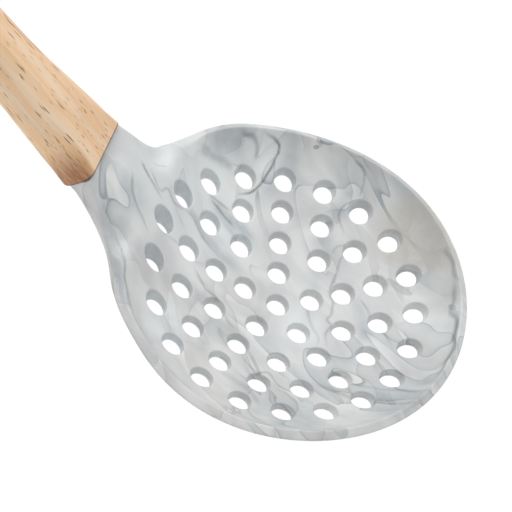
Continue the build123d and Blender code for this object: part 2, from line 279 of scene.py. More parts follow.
def triangulate(border, hole_radius, step):
    """Plan triangulation inside the border, outside the holes, with a hole ring's points kept."""
    turns = np.arange(HOLE_SEGMENTS) * 2 * pi / HOLE_SEGMENTS
    ring = np.stack([np.cos(turns), np.sin(turns)], 1)
    rings = [np.array(centre) + ring * hole_radius for centre in hole_centres()]
    fill = lattice(step)
    keep = inside_border(fill, border, 0.6 * step)
    for centre in hole_centres():
        keep &= np.hypot(fill[:, 0] - centre[0], fill[:, 1] - centre[1]) > hole_radius + 0.55 * step
    points = np.vstack([border] + rings + [fill[keep]])
    count = len(border)
    edges = [(index, (index + 1) % count) for index in range(count)]
    for index in range(len(rings)):
        first = count + index * HOLE_SEGMENTS
        edges += [(first + k, first + (k + 1) % HOLE_SEGMENTS) for k in range(HOLE_SEGMENTS)]
    result = geometry.delaunay_2d_cdt([Vector(point) for point in points], edges, [], 0, 1e-6)
    flat = np.array([(v.x, v.y) for v in result[0]])
    faces = np.array([face for face in result[2] if len(face) == 3])
    middle = flat[faces].mean(axis=1)
    wanted = inside_border(middle, border, 0.0)
    for centre in hole_centres():
        wanted &= np.hypot(middle[:, 0] - centre[0], middle[:, 1] - centre[1]) > hole_radius * 0.99
    return flat, faces[wanted]


def inside_border(points, border, margin):
    """Which points lie inside the closed border, and at least the margin away from it."""
    x, y = points[:, 0], points[:, 1]
    inside = np.zeros(len(points), bool)
    ends = np.roll(border, -1, axis=0)
    for (x0, y0), (x1, y1) in zip(border, ends):
        if y0 == y1:
            continue
        crosses = (y0 > y) != (y1 > y)
        inside ^= crosses & (x < (x1 - x0) * (y - y0) / (y1 - y0) + x0)
    if margin > 0:
        for x0, y0 in border:
            inside &= (x - x0) ** 2 + (y - y0) ** 2 > margin**2
    return inside


class MeshParts:
    """Collects vertices and faces, in millimetres."""

    def __init__(self):
        self.points, self.faces, self.count = [], [], 0

    def add(self, points, faces):
        self.points.append(np.asarray(points, float))
        self.faces += [tuple(int(index) + self.count for index in face) for face in faces]
        self.count += len(points)

    def add_grid(self, grid, closed=False):
        """Quads over a grid of points, rows by columns, closed along the rows if asked."""
        rows, columns = grid.shape[:2]
        faces = []
        for row in range(rows if closed else rows - 1):
            for column in range(columns - 1):
                a, b = row * columns + column, ((row + 1) % rows) * columns + column
                faces.append((a, a + 1, b + 1, b))
        self.add(grid.reshape(-1, 3), faces)

    def mesh(self, name, weld=2e-6):
        """The collected mesh in metres, with doubled points welded and normals outward."""
        build = bmesh.new()
        corners = [build.verts.new(point * MM) for point in np.vstack(self.points)]
        for face in self.faces:
            build.faces.new([corners[index] for index in face])
        bmesh.ops.remove_doubles(build, verts=build.verts, dist=weld)
        bmesh.ops.recalc_face_normals(build, faces=build.faces)
        data = bpy.data.meshes.new(name)
        build.to_mesh(data)
        build.free()
        return data


def bezier_rows(start, corner, end, count):
    """Rows of points that round a corner, all of shape (points, 3)."""
    shares = np.linspace(0, 1, count)
    return [start * (1 - t) ** 2 + corner * 2 * t * (1 - t) + end * t**2 for t in shares]


def hole_wall(centre):
    """Wall of one drain hole: soft top edge, upright wall, small moulding step, back edge."""
    turns = np.arange(HOLE_SEGMENTS) * 2 * pi / HOLE_SEGMENTS
    ring = np.stack([np.cos(turns), np.sin(turns)], 1)

    def at(radius, height):
        flat = np.array(centre) + ring * radius
        return np.column_stack([flat, height])

    def over(height, radius):
        flat = np.array(centre) + ring * radius
        return height(flat[:, 0], flat[:, 1])

    mouth, wide, tight = HOLE_MOUTH_RADIUS, HOLE_RADIUS - HOLE_NARROWING, HOLE_BACK_RADIUS
    brim, root = over(top_height, mouth), over(back_height, tight)
    outer = over(top_height, mouth + HOLE_ROUND_TOP)
    below = brim - HOLE_EDGE_DEPTH
    rows = bezier_rows(at(mouth + HOLE_ROUND_TOP, outer), at(mouth, brim), at(mouth, below), 7)
    shelf = root + FLASH_HEIGHT
    for share in (0.35, 0.7, 0.95):
        height = below * (1 - share) + (shelf + 0.1) * share
        rows.append(at(mouth + (wide - mouth) * share, height))
    rows.append(at(wide - 0.02, shelf + 0.05))
    rows.append(at(tight + 0.02, shelf))
    rows.append(at(tight, shelf - 0.06))
    last = over(back_height, tight + HOLE_ROUND_BACK)
    rows += bezier_rows(at(tight, root + 0.3), at(tight, root), at(tight + HOLE_ROUND_BACK, last), 5)
    return np.stack(rows, 1)


def cut_neck_end(data, gap):
    """Cuts the neck square to the handle and closes it with a small rounded edge."""
    build = bmesh.new()
    build.from_mesh(data)
    start = (HANDLE_END - ALONG * gap) * MM
    everything = list(build.verts) + list(build.edges) + list(build.faces)
    bmesh.ops.bisect_plane(build, geom=everything, plane_co=start, plane_no=ALONG, clear_outer=True)
    bmesh.ops.remove_doubles(build, verts=build.verts, dist=4e-6)
    loop = [edge for edge in build.edges if edge.is_boundary]
    centre = sum((vert.co for edge in loop for vert in edge.verts), Vector()) / (2 * len(loop))
    for turn in (0.25, 0.5, 0.75, 1.0):
        grown = bmesh.ops.extrude_edge_only(build, edges=loop)["geom"]
        loop = [item for item in grown if isinstance(item, bmesh.types.BMEdge)]
        before = turn - 0.25
        forward = gap * (sin(turn * pi / 2) - sin(before * pi / 2)) * MM
        inward = gap * (cos(before * pi / 2) - cos(turn * pi / 2)) * MM
        for vert in {vert for edge in loop for vert in edge.verts}:
            to_centre = centre - vert.co
            to_centre -= Vector(ALONG) * to_centre.dot(Vector(ALONG))
            vert.co += Vector(ALONG) * forward + to_centre.normalized() * inward
    bmesh.ops.contextual_create(build, geom=loop)
    bmesh.ops.recalc_face_normals(build, faces=build.faces)
    build.to_mesh(data)
    build.free()


def build_head():
    """Silicone bowl, rim and neck as one closed mesh."""
    parts = MeshParts()
    profiles = rim_profiles()
    parts.add_grid(profiles)
    for edge, height, radius, step in (
        (profiles[:, 0, :2], top_height, HOLE_MOUTH_RADIUS + HOLE_ROUND_TOP, SKIN_STEP),
        (profiles[:, -1, :2], back_height, HOLE_BACK_RADIUS + HOLE_ROUND_BACK, BACK_STEP),
    ):
        flat, faces = triangulate(edge, radius, step)
        parts.add(np.column_stack([flat, height(flat[:, 0], flat[:, 1])]), faces)
    for centre in hole_centres():
        parts.add_grid(hole_wall(centre), closed=True)
    data = parts.mesh("silicone_bowl")
    cut_neck_end(data, NECK_END_ROUND)
    data.shade_smooth()
    return data


# --- Marbling of the silicone, and painted shade on it ---------------------------------------
# Everything here lies in the bowl's plan, in millimetres.
# A stroke is (tone, width, strength, points). About half of the points follow veins in the photograph:
# they were picked there by eye, turned into millimetres by a helper program and typed in, rounded.
# The rest were placed against those. Most patch centres came from a helper program as well.
STROKES = [
    ("dark", 0.34, 1.0, [(-24, 27), (-21, 29.5), (-19, 33), (-18.5, 38), (-18, 43), (-18.5, 46.5),
     (-24, 46)]),
    ("dark", 0.30, 0.55, [(10.5, 43.5), (10, 47), (8, 49.5), (4, 51)]),
    ("dark", 0.35, 0.45, [(9, 42), (7, 38), (7.5, 34.5), (10.5, 31)]),
    ("dark", 0.30, 0.35, [(9, 24), (10, 26.5), (13, 28)]),
    ("dark", 0.30, 0.45, [(13, 25), (12, 23), (12.7, 19), (13.3, 15), (15, 14)]),
    ("dark", 0.38, 0.60, [(12.5, 19), (13.3, 11), (15, 8.5), (16, 4), (15.4, 1.8), (17, 0),
     (16.3, -3.5), (18, -7)]),
    ("dark", 0.45, 0.30, [(6.5, 9), (7.5, 4.5), (11, -1), (15, -6), (15.3, -9)]),
    # This stroke and the next run along the rim's inner edge: partly a vein, partly painted shade in the
    # crease there.
    ("dark", 0.40, 0.55, [(40, 32.5), (43, 28.5), (45.5, 24), (47, 22.5)]),
    ("dark", 0.42, 0.65, [(46, 22.5), (47.7, 17), (47.6, 14), (50, 10.5), (52, 2), (51.6, -4.5),
     (50, -12)]),
    ("beige", 0.70, 0.55, [(17.5, 36), (21, 29), (24, 27), (29, 26), (33, 27), (37.5, 26), (44, 27.5)]),
    ("dark", 0.80, 0.45, [(18.5, -23), (25.5, -23.5), (30, -24.3), (34, -24.3)]),
    ("dark", 0.38, 0.60, [(34, -24.3), (40, -23.7), (44.5, -24.3), (47.5, -24.3)]),
    ("dark", 0.45, 0.30, [(28.5, -19.3), (37, -17.8), (44, -17), (47.5, -19.5)]),
    ("dark", 0.38, 0.60, [(-53.5, 8), (-51, 6.5), (-47.5, 5.2), (-44, 4.4)]),
    ("dark", 0.45, 0.45, [(-54.5, 2), (-52.4, -2.4), (-48, -5.8), (-43.5, -8.3)]),
    ("olive", 0.55, 0.50, [(-44, 11), (-41, 8.5), (-37, 5.2), (-34, 3.3)]),
    ("dark", 0.30, 0.30, [(-51, 12), (-46, 15)]),
    ("blue", 1.30, 0.65, [(-36.5, 10), (-32.5, 10), (-28, 7.5), (-24, 6.3), (-20, 5.7), (-14.5, 3.7)]),
    ("dark", 0.32, 0.45, [(-36.5, 9.2), (-32.5, 9), (-28, 6.4), (-24, 5.2), (-19, 4.4)]),
    ("olive", 0.40, 0.55, [(-43, -3), (-39, -3.4), (-34, -1.4), (-30.5, -2.4), (-26, -1.5),
     (-25, 1.5), (-28, 4.3)]),
    ("dark", 0.34, 0.55, [(-32, 20), (-28, 20.6), (-24, 21)]),
    ("dark", 0.40, 0.65, [(-31, 19.5), (-26, 18), (-21, 16)]),
    ("blue", 2.20, 0.55, [(-30, 19.5), (-25, 18.5), (-20, 17.5), (-13, 15.5)]),
    ("blue", 1.60, 0.85, [(-40.5, 30), (-36, 31.3), (-31, 33), (-28, 32)]),
    ("blue", 3.60, 0.55, [(-37, 34), (-32, 37.5), (-27, 40.5)]),
    ("dark", 0.60, 0.55, [(-31, 41.5), (-27, 43.3), (-24.4, 42.2), (-23.7, 39.5)]),
    ("blue", 3.00, 0.40, [(-14, 47), (-13, 42), (-15, 36), (-18, 31)]),
    ("blue", 2.60, 0.50, [(7, 46), (6.5, 41), (6, 35), (5, 29), (6, 22)]),
    ("blue", 2.40, 0.30, [(6, 20), (8, 12), (9, 4), (11, -6)]),
    ("dark", 1.00, 0.25, [(-9, -33), (-4, -34), (2, -36), (6, -41)]),
    ("blue", 2.00, 0.30, [(-34, -26), (-29, -28.5), (-24, -30)]),
    ("dark", 0.30, 0.35, [(-33.5, -22), (-29, -27), (-25.5, -29.5)]),
    ("blue", 1.70, 0.45, [(-60, -12), (-56, -15), (-51, -19.5), (-47.5, -24.8), (-45, -29),
     (-42, -33), (-38, -37.5)]),
    # This stroke runs along the rim's inner edge: partly a vein, partly painted shade in the crease there.
    ("dark", 0.30, 0.50, [(-52.5, -15), (-48.9, -18.9), (-46.1, -23.2), (-44, -27),
     (-41.7, -30.4), (-36.3, -36.7)]),
    ("dark", 0.32, 0.55, [(-50, 8.5), (-46, 6), (-43.5, 9), (-40, 7.5), (-36, 9.5)]),
    ("dark", 0.35, 0.45, [(-27, -4), (-22, -8), (-17, -9), (-12, -14), (-8, -15.5)]),
    ("blue", 2.40, 0.40, [(-24, -10), (-18, -14), (-12, -19), (-6, -22)]),
    ("dark", 0.34, 0.50, [(-4, -24), (1, -27), (5, -26), (10, -29.5), (15, -29)]),
    ("blue", 1.80, 0.40, [(20, 12), (24, 8), (27, 3), (27, -3)]),
    ("dark", 0.34, 0.50, [(22, 13), (26, 9.5), (28.5, 5), (33, 3), (36, -1)]),
]
STROKE_FADE_IN, STROKE_FADE_OUT, STROKE_END_SHARE = 0.12, 0.2, 0.25     # shares of a stroke
BEIGE_PATCH, BEIGE_STRENGTH = ((33.0, 36.0), 17.0), 0.75    # the warm patch by the tip
BEIGE_EDGE, BEIGE_EDGE_SLOPE, BEIGE_EDGE_WIDTH, BEIGE_SQUASH = 26.5, 0.16, 2.0, 1.25
# A patch is (centre, reach), or (centre, reach, strength).
LIGHT_PATCHES = [((-40, 14), 30), ((-23, 43.5), 9), ((-29, -27), 13), ((9, -5), 10), ((50, 9), 9)]
DARK_PATCHES = [((17, -39), 12, 0.42), ((42, -22), 13, 0.32), ((-51, -3), 7, 0.35)]
HOLE_PAINTED_SHADE, HOLE_PAINTED_SHADE_EASE = 0.42, 0.8     # painted blue-grey shade on the drain holes' walls, less by the tip
WOBBLE, WOBBLE_SIZE = 0.55, 6.0             # how far strokes wander, and over what distance
CHANNELS = {"dark": 0, "blue": 1, "beige": 2, "olive": 2}
BLUE_AND_SHADE, WARM, COOL = 1, 2, 3


def noise_field(points, scale, seed, octaves):
    """Smooth noise at each point, about -1 to 1, with features of the given size in millimetres."""
    shift = Vector((seed * 17.3, seed * 7.1, seed * 3.7))
    return np.array([noise.fractal(Vector(p) / scale + shift, 1.0, 2.0, octaves) for p in points])


def stroke_curve(points):
    """Even, smooth run of points through the given ones."""
    points = np.array(points, float)
    if len(points) > 2:
        ways = np.gradient(points, axis=0)
    else:
        ways = np.diff(points, axis=0).repeat(2, axis=0)
    runs = []
    for index in range(len(points) - 1):
        reach = np.linalg.norm(points[index + 1] - points[index])
        share = np.linspace(0, 1, max(int(reach / 0.25), 2))[:, None]
        cubes, squares = share**3, share**2
        leaving = (2 * cubes - 3 * squares + 1) * points[index] + (cubes - 2 * squares + share) * ways[index]
        arriving = (3 * squares - 2 * cubes) * points[index + 1] + (cubes - squares) * ways[index + 1]
        runs.append(leaving + arriving)
    return np.vstack(runs)


def distance_to(flat, centre):
    return np.hypot(flat[:, 0] - centre[0], flat[:, 1] - centre[1])


def paint_strokes(layers, flat, on_top, streaks):
    """Paints the strokes on the top skin, fading at their ends and varied by the streaks."""
    for tone, width, strength, points in STROKES:
        curve = stroke_curve(points)
        low, high = curve.min(0) - 4 * width, curve.max(0) + 4 * width
        near = np.flatnonzero(on_top & np.all((flat > low) & (flat < high), axis=1))
        if not len(near):
            continue
        across = flat[near, None, 0] - curve[None, :, 0]
        along = flat[near, None, 1] - curve[None, :, 1]
        gaps = np.hypot(across, along)
        place = gaps.argmin(1) / (len(curve) - 1)
        taper = smooth_step(place / STROKE_FADE_IN) * smooth_step((1 - place) / STROKE_FADE_OUT)
        taper = STROKE_END_SHARE + (1 - STROKE_END_SHARE) * taper
        amount = strength * np.exp(-(gaps.min(1) / width) ** 2) * taper * streaks[near]
        layers[near, CHANNELS[tone]] = np.maximum(layers[near, CHANNELS[tone]], amount)


def paint_patches(layers, flat, on_top, streaks):
    """Paints the broad warm, cool and blue-grey areas."""
    centre, reach = BEIGE_PATCH
    far = np.hypot(flat[:, 0] - centre[0], (flat[:, 1] - centre[1]) * BEIGE_SQUASH) / reach
    bowed = flat[:, 1] - BEIGE_EDGE + BEIGE_EDGE_SLOPE * np.abs(flat[:, 0] - centre[0])
    edge = smooth_step(bowed / BEIGE_EDGE_WIDTH)
    warm = BEIGE_STRENGTH * on_top * edge * (1 - smooth_step((far - 0.55) / 0.6))
    layers[:, WARM] = np.maximum(layers[:, WARM], warm)
    ragged = 1.6 - 0.7 * streaks
    for centre, reach in LIGHT_PATCHES:
        far = ragged * distance_to(flat, centre) / reach
        layers[:, COOL] = np.maximum(layers[:, COOL], 1 - smooth_step((far - 0.3) / 0.9))
    for centre, reach, strength in DARK_PATCHES:
        far = ragged * distance_to(flat, centre) / reach
        shade = strength * on_top * (1 - smooth_step((far - 0.2) / 0.9))
        layers[:, BLUE_AND_SHADE] = np.maximum(layers[:, BLUE_AND_SHADE], shade)


def paint_hole_wall_shade(layers, spots, halfway):
    """Paints shade on the drain holes' walls, darker with depth, with a painted highlight line at the
    moulding step.
    """
    for x, y in hole_centres():
        in_wall = distance_to(spots, (x, y)) < HOLE_MOUTH_RADIUS + 0.03
        wall = spots[in_wall]
        deep = halfway[in_wall] + WALL / 2 - wall[:, 2]
        off_step = np.abs(wall[:, 2] - back_height(wall[:, 0], wall[:, 1]) - FLASH_HEIGHT)
        shade = HOLE_PAINTED_SHADE * (0.6 + 0.4 * smooth_step(deep / WALL))
        shade *= smooth_step((off_step - 0.12) / 0.1)
        shade *= 1 - HOLE_PAINTED_SHADE_EASE * smooth_step((x + 15) / 45)
        layers[in_wall, BLUE_AND_SHADE] = np.maximum(layers[in_wall, BLUE_AND_SHADE] * (off_step > 0.15), shade)


def paint_marble_and_shade(data):
    """Stores how dark, blue, warm and cool the marbling is at every vertex of the head, with painted shade on
    the drain holes' walls and along the rim's inner edge.
    """
    spots = np.empty(len(data.vertices) * 3, np.float32)
    data.vertices.foreach_get("co", spots)
    spots = spots.reshape(-1, 3) / MM
    flat = spots[:, :2].copy()
    flat[:, 0] += WOBBLE * noise_field(spots, WOBBLE_SIZE, 1, 2)
    flat[:, 1] += WOBBLE * noise_field(spots, WOBBLE_SIZE, 2, 2)
    halfway = (top_height(spots[:, 0], spots[:, 1]) + back_height(spots[:, 0], spots[:, 1])) / 2
    on_top = spots[:, 2] > halfway + 0.2
    streaks = 0.75 + 0.35 * noise_field(spots, 9.0, 3, 2)
    layers = np.zeros((len(spots), 4), np.float32)
    paint_strokes(layers, flat, on_top, streaks)
    paint_patches(layers, flat, on_top, streaks)
    paint_hole_wall_shade(layers, spots, halfway)
    store = data.attributes.new("marble_and_shade", "FLOAT_COLOR", "POINT")
    store.data.foreach_set("color", np.clip(layers, 0, 1).ravel())


# --- Handle ------------------------------------------------------------------------------------
HANDLE_LENGTH = 212.0
END_WIDTH, END_THICKNESS, GRIP_WIDTH, GRIP_THICKNESS = 24.4, 12.2, 18.2, 16.7
NARROWING_LENGTH, FLAT_LENGTH, CORNER, CORNER_GROWTH, ROUND_SHARE = 42.0, 17.0, 7.0, 0.2, 0.49
BUTT_SWELL, BUTT_SWELL_START, BUTT_SWELL_LENGTH = 4.0, 110.0, 85.0
HANDLE_STEP, FLAT_STEP, HANDLE_SEGMENTS = 1.5, 0.45, 240
END_ROUND, BUTT_ROUND, FLAT_SOFTNESS = 0.4, 5.0, 0.25
HANG_HOLE_RADIUS, HANG_HOLE_FROM_BUTT, HANG_HOLE_ROUND, HANG_HOLE_SEGMENTS = 3.0, 13.0, 1.0, 64
CUT_WELD, SLIVER_SIZE = 3e-6, 1e-6      # metres


def rounded_rectangle(width, thickness, corner, count):
    """Points round a rounded rectangle, matched by direction so that sections line up."""
    turns = np.arange(count) * 2 * pi / count
    way = np.stack([np.cos(turns), np.sin(turns)], 1)
    half = np.array([width / 2 - corner, thickness / 2 - corner])
    low, high = np.zeros(count), np.full(count, width)
    for _ in range(40):
        middle = (low + high) / 2
        spot = np.abs(way * middle[:, None])
        outside = np.maximum(spot - half, 0)
        beyond = np.hypot(outside[:, 0], outside[:, 1]) > corner
        high, low = np.where(beyond, middle, high), np.where(beyond, low, middle)
    return way * low[:, None]


def handle_shape(distance):
    """Width, corner radius and half thickness between the flats, at a distance from the silicone."""
    width = END_WIDTH + (GRIP_WIDTH - END_WIDTH) * smooth_step(distance / NARROWING_LENGTH)
    width += BUTT_SWELL * smooth_step((distance - BUTT_SWELL_START) / BUTT_SWELL_LENGTH)
    corner = min(CORNER + CORNER_GROWTH * distance, GRIP_THICKNESS * ROUND_SHARE)
    flat = END_THICKNESS / 2 + (GRIP_THICKNESS - END_THICKNESS) / 2 * distance / FLAT_LENGTH
    return width, corner, flat


def handle_point(distance, across, up):
    """Point of the handle, in millimetres: along it, across its width and out of its top."""
    return HANDLE_END + ALONG * distance + np.array([0.0, 1.0, 0.0]) * across + OUT_OF_TOP * up


def handle_ring(distance, shrink):
    """Section of the handle, drawn in by shrink, with the edges of its flats just softened."""
    width, corner, flat = handle_shape(distance)
    corner = max(corner - shrink, 0.5)
    ring = rounded_rectangle(width - 2 * shrink, GRIP_THICKNESS - 2 * shrink, corner, HANDLE_SEGMENTS)
    up, level = np.abs(ring[:, 1]), flat - shrink
    ring[:, 1] = np.sign(ring[:, 1]) * (up + level - np.sqrt((up - level) ** 2 + FLAT_SOFTNESS**2)) / 2
    return np.array([handle_point(distance, across, up) for across, up in ring])


def build_handle():
    """Wooden handle: flat end, softened edges and a rounded butt; the countersunk hanging hole is cut
    afterwards.
    """
    stations = [
        (END_ROUND * (1 - cos(turn)), END_ROUND * (1 - sin(turn)))
        for turn in np.linspace(0, pi / 2, 5)
    ]
    straight_end = HANDLE_LENGTH - BUTT_ROUND
    stations += [(distance, 0.0) for distance in np.arange(0.8, FLAT_LENGTH + 8, FLAT_STEP)]
    stations += [(distance, 0.0) for distance in np.arange(FLAT_LENGTH + 9, straight_end, HANDLE_STEP)]
    stations += [
        (HANDLE_LENGTH - BUTT_ROUND * (1 - sin(turn)), BUTT_ROUND * (1 - cos(turn)))
        for turn in np.linspace(0, pi / 2, 12)
    ]
    rings = np.array([handle_ring(distance, shrink) for distance, shrink in stations])
    parts = MeshParts()
    parts.add_grid(rings.transpose(1, 0, 2), closed=True)
    for ring in (rings[0], rings[-1]):
        centre = ring.mean(axis=0)
        layers = np.array([centre + (ring - centre) * share for share in (1.0, 0.66, 0.33)])
        parts.add_grid(layers.transpose(1, 0, 2), closed=True)
        parts.add(layers[-1], [tuple(range(HANDLE_SEGMENTS))])
    return parts.mesh("handle_wood")


def hang_hole_cutter():
    """Spool-shaped cutter whose flared ends round the hole's edges."""
    place = HANDLE_LENGTH - HANG_HOLE_FROM_BUTT
    half = GRIP_THICKNESS / 2
    rows = [(HANG_HOLE_RADIUS, 0.0), (HANG_HOLE_RADIUS, half - HANG_HOLE_ROUND)]
    rows += [
        (HANG_HOLE_RADIUS + HANG_HOLE_ROUND * (1 - cos(turn)), half - HANG_HOLE_ROUND * (1 - sin(turn)))
        for turn in np.linspace(0.15, pi / 2, 8)
    ]
    rows += [(HANG_HOLE_RADIUS + HANG_HOLE_ROUND + 0.4, half + 3.0)]
    rows = [(radius, -up) for radius, up in reversed(rows[1:])] + rows
    turns = np.arange(HANG_HOLE_SEGMENTS) * 2 * pi / HANG_HOLE_SEGMENTS
    rings = np.array([
        [handle_point(place + radius * cos(turn), radius * sin(turn), up) for turn in turns]
        for radius, up in rows
    ])
    parts = MeshParts()
    parts.add_grid(rings.transpose(1, 0, 2), closed=True)
    parts.add(rings[0], [tuple(range(HANG_HOLE_SEGMENTS))])
    parts.add(rings[-1], [tuple(range(HANG_HOLE_SEGMENTS))])
    return parts.mesh("hang_hole_cutter")


def cut_hang_hole(piece):
    """Cuts the hanging hole and clears the slivers that the cut leaves."""
    cutter = bpy.data.objects.new("hang_hole_cutter", hang_hole_cutter())
    bpy.context.scene.collection.objects.link(cutter)
    cut = piece.modifiers.new("hole", "BOOLEAN")
    cut.object, cut.operation, cut.solver = cutter, "DIFFERENCE", "EXACT"
    after_cut = piece.evaluated_get(bpy.context.evaluated_depsgraph_get())
    cleaned = bpy.data.meshes.new_from_object(after_cut)
    build = bmesh.new()
    build.from_mesh(cleaned)
    bmesh.ops.remove_doubles(build, verts=build.verts, dist=CUT_WELD)
    bmesh.ops.dissolve_degenerate(build, edges=build.edges, dist=SLIVER_SIZE)
    build.to_mesh(cleaned)
    build.free()
    piece.modifiers.clear()
    piece.data = cleaned
    bpy.data.objects.remove(cutter)


# --- Materials -----------------------------------------------------------------------------------
class Nodes:
    """Small helper for writing a material's nodes."""

    def __init__(self, name):
        self.material = bpy.data.materials.new(name)
        self.material.use_nodes = True
        self.tree = self.material.node_tree
        self.tree.nodes.clear()
        self.out = self.tree.nodes.new("ShaderNodeOutputMaterial")
        self.surface = self.tree.nodes.new("ShaderNodeBsdfPrincipled")
        self.tree.links.new(self.surface.outputs[0], self.out.inputs[0])

    def link(self, source, target):
        if isinstance(source, (int, float, tuple)):
            target.default_value = source
        else:
            self.tree.links.new(source, target)

    def node(self, kind, inputs=(), **settings):
        node = self.tree.nodes.new(kind)
        for key, value in settings.items():
            setattr(node, key, value)
        for key, value in dict(inputs).items():
            self.link(value, node.inputs[key])
        return node

    def math(self, operation, *values):
        node = self.node("ShaderNodeMath", operation=operation)
        for slot, value in enumerate(values):
            self.link(value, node.inputs[slot])
        return node.outputs[0]

    def spread(self, value, low, high, to_low=0.0, to_high=1.0):
        node = self.node("ShaderNodeMapRange", interpolation_type="SMOOTHSTEP")
        for slot, item in enumerate((value, low, high, to_low, to_high)):
            self.link(item, node.inputs[slot])
        return node.outputs[0]

    def mix(self, share, first, second):
        node = self.node("ShaderNodeMix", data_type="RGBA")
        for slot, item in ((0, share), (6, first), (7, second)):
            self.link(item, node.inputs[slot])
        return node.outputs[2]

    def noise(self, where, scale, detail=3.0, roughness=0.5, distortion=0.0):
        inputs = {"Vector": where, "Scale": scale, "Detail": detail}
        inputs |= {"Roughness": roughness, "Distortion": distortion}
        return self.node("ShaderNodeTexNoise", inputs).outputs[0]

    def stretch(self, where, scale, turn=(0.0, 0.0, 0.0)):
        inputs = {"Vector": where, "Rotation": turn}
        turned = self.node("ShaderNodeVectorRotate", inputs, rotation_type="EULER_XYZ").outputs[0]
        return self.node("ShaderNodeVectorMath", {0: turned, 1: scale}, operation="MULTIPLY").outputs[0]

    def bump(self, height, strength, distance):
        node = self.node("ShaderNodeBump", {"Height": height, "Strength": strength, "Distance": distance})
        self.link(node.outputs[0], self.surface.inputs["Normal"])

    def finish(self, **values):
        for key, value in values.items():
            self.link(value, self.surface.inputs[key.replace("_", " ")])
        return self.material


def grey(value, warmth=0.0):
    """Linear colour from a screen grey, a little warmer or cooler."""
    screen = (value + warmth, value, value - warmth)
    return tuple(((channel + 0.055) / 1.055) ** 2.4 for channel in screen) + (1.0,)


def tint(red, green, blue):
    """Linear colour from screen values out of 255."""
    return tuple(((channel / 255 + 0.055) / 1.055) ** 2.4 for channel in (red, green, blue)) + (1.0,)


def along_handle(n, where):
    """Object coordinates turned so that X runs down the handle's axis, and the same place as X, Y, Z."""
    inputs = {"Vector": where, "Axis": (0.0, 1.0, 0.0), "Angle": -PITCH}
    turned = n.node("ShaderNodeVectorRotate", inputs, rotation_type="AXIS_ANGLE").outputs[0]
    return turned, n.node("ShaderNodeSeparateXYZ", {0: turned}).outputs


# Where the wood meets the silicone, measured along the handle's axis.
JOINT_PLACE = (HANDLE_END[0] * cos(PITCH) - HANDLE_END[2] * sin(PITCH)) * MM


def silicone_material():
    """Satin silicone, pale grey with blue-grey and warm marbling laid in folded layers, with painted shade in
    the drain holes, along the rim's inner edge and where it meets the wood.
    """
    n = Nodes("marbled_silicone")
    where = n.node("ShaderNodeTexCoord").outputs["Object"]
    painted = n.node("ShaderNodeAttribute", attribute_name="marble_and_shade")
    dark, blue, warm = n.node("ShaderNodeSeparateColor", {0: painted.outputs["Color"]}).outputs[:3]
    cool = painted.outputs["Alpha"]

    def layers(turn, scale, folds, distortion):
        """Folded layers: a soft fade on one side of each fold and a crisp edge on the other."""
        swirl = n.noise(n.stretch(where, (0.75, 1.9, 1.2), (0.0, 0.0, turn)), scale, 2.0, 0.45, distortion)
        fold = n.math("FRACT", n.math("MULTIPLY", swirl, folds))
        fade = n.math("POWER", fold, 2.2)
        edge = n.math("MULTIPLY", n.spread(fold, 0.9, 0.985), n.spread(fold, 0.988, 1.0, 1.0, 0.0))
        return fade, edge

    clouds = n.noise(n.stretch(where, (1.0, 1.6, 0.8), (0.0, 0.0, 0.45)), 42.0, 4.0, 0.5, 1.2)
    place = n.spread(n.noise(where, 30.0, 2.0), 0.42, 0.6)
    turned = n.stretch(where, (1.0, 1.0, 1.0), (0.0, 0.0, 1.3))
    other = n.spread(n.noise(turned, 34.0, 2.0), 0.46, 0.6)
    fade, edge = layers(0.55, 26.0, 7.0, 0.9)
    fade_two, edge_two = layers(0.95, 38.0, 5.0, 0.6)
    fine = n.noise(where, 900.0, 4.0, 0.6)
    ripple = n.spread(n.noise(where, 260.0, 3.0, 0.6, 1.5), 0.3, 0.75, 0.75, 1.1)

    colour = n.mix(n.spread(clouds, 0.35, 0.66), tint(211, 212, 213), tint(230, 231, 230))
    colour = n.mix(n.math("MULTIPLY", cool, 0.7), colour, tint(236, 240, 241))
    calm = n.math("SUBTRACT", 1.0, n.math("MULTIPLY", cool, 0.55))
    place = n.math("MULTIPLY", place, calm)
    other = n.math("MULTIPLY", other, calm)
    colour = n.mix(n.math("MULTIPLY", n.math("MULTIPLY", fade, place), 0.62), colour, tint(178, 187, 192))
    colour = n.mix(n.math("MULTIPLY", n.math("MULTIPLY", fade_two, other), 0.5), colour, tint(190, 188, 184))
    broken = n.spread(n.noise(where, 75.0, 2.0), 0.42, 0.62)
    crisp = n.math("MULTIPLY", n.math("MULTIPLY", edge, place), n.math("MULTIPLY", broken, 0.5))
    colour = n.mix(crisp, colour, tint(120, 128, 134))
    crisp_two = n.math("MULTIPLY", n.math("MULTIPLY", edge_two, other), n.math("MULTIPLY", broken, 0.32))
    colour = n.mix(crisp_two, colour, tint(132, 136, 140))
    colour = n.mix(n.math("MULTIPLY", warm, ripple), colour, tint(196, 193, 186))
    # The blue layer holds blue-grey marbling and the painted shade on the drain holes' walls.
    colour = n.mix(n.math("MULTIPLY", blue, ripple), colour, tint(152, 165, 172))
    # The dark layer holds veins, and painted shade where strokes run along the rim's inner edge.
    colour = n.mix(dark, colour, tint(66, 74, 82))
    down = along_handle(n, where)[1][0]
    # Painted shade in the thin gap where the silicone meets the wood.
    joint_shade = n.spread(down, JOINT_PLACE + 0.0003, JOINT_PLACE + 0.0007, 0.75, 0.0)
    colour = n.mix(joint_shade, colour, tint(88, 86, 84))
    rough = n.spread(fine, 0.3, 0.7, 0.36, 0.48)
    n.bump(n.math("ADD", fine, n.math("MULTIPLY", clouds, 0.4)), 0.06, 0.0004)
    return n.finish(Base_Color=colour, Roughness=rough, Subsurface_Weight=0.10, Subsurface_Scale=0.002,
                    Subsurface_Radius=(1.0, 0.95, 0.9), IOR=1.43, Specular_IOR_Level=0.5)


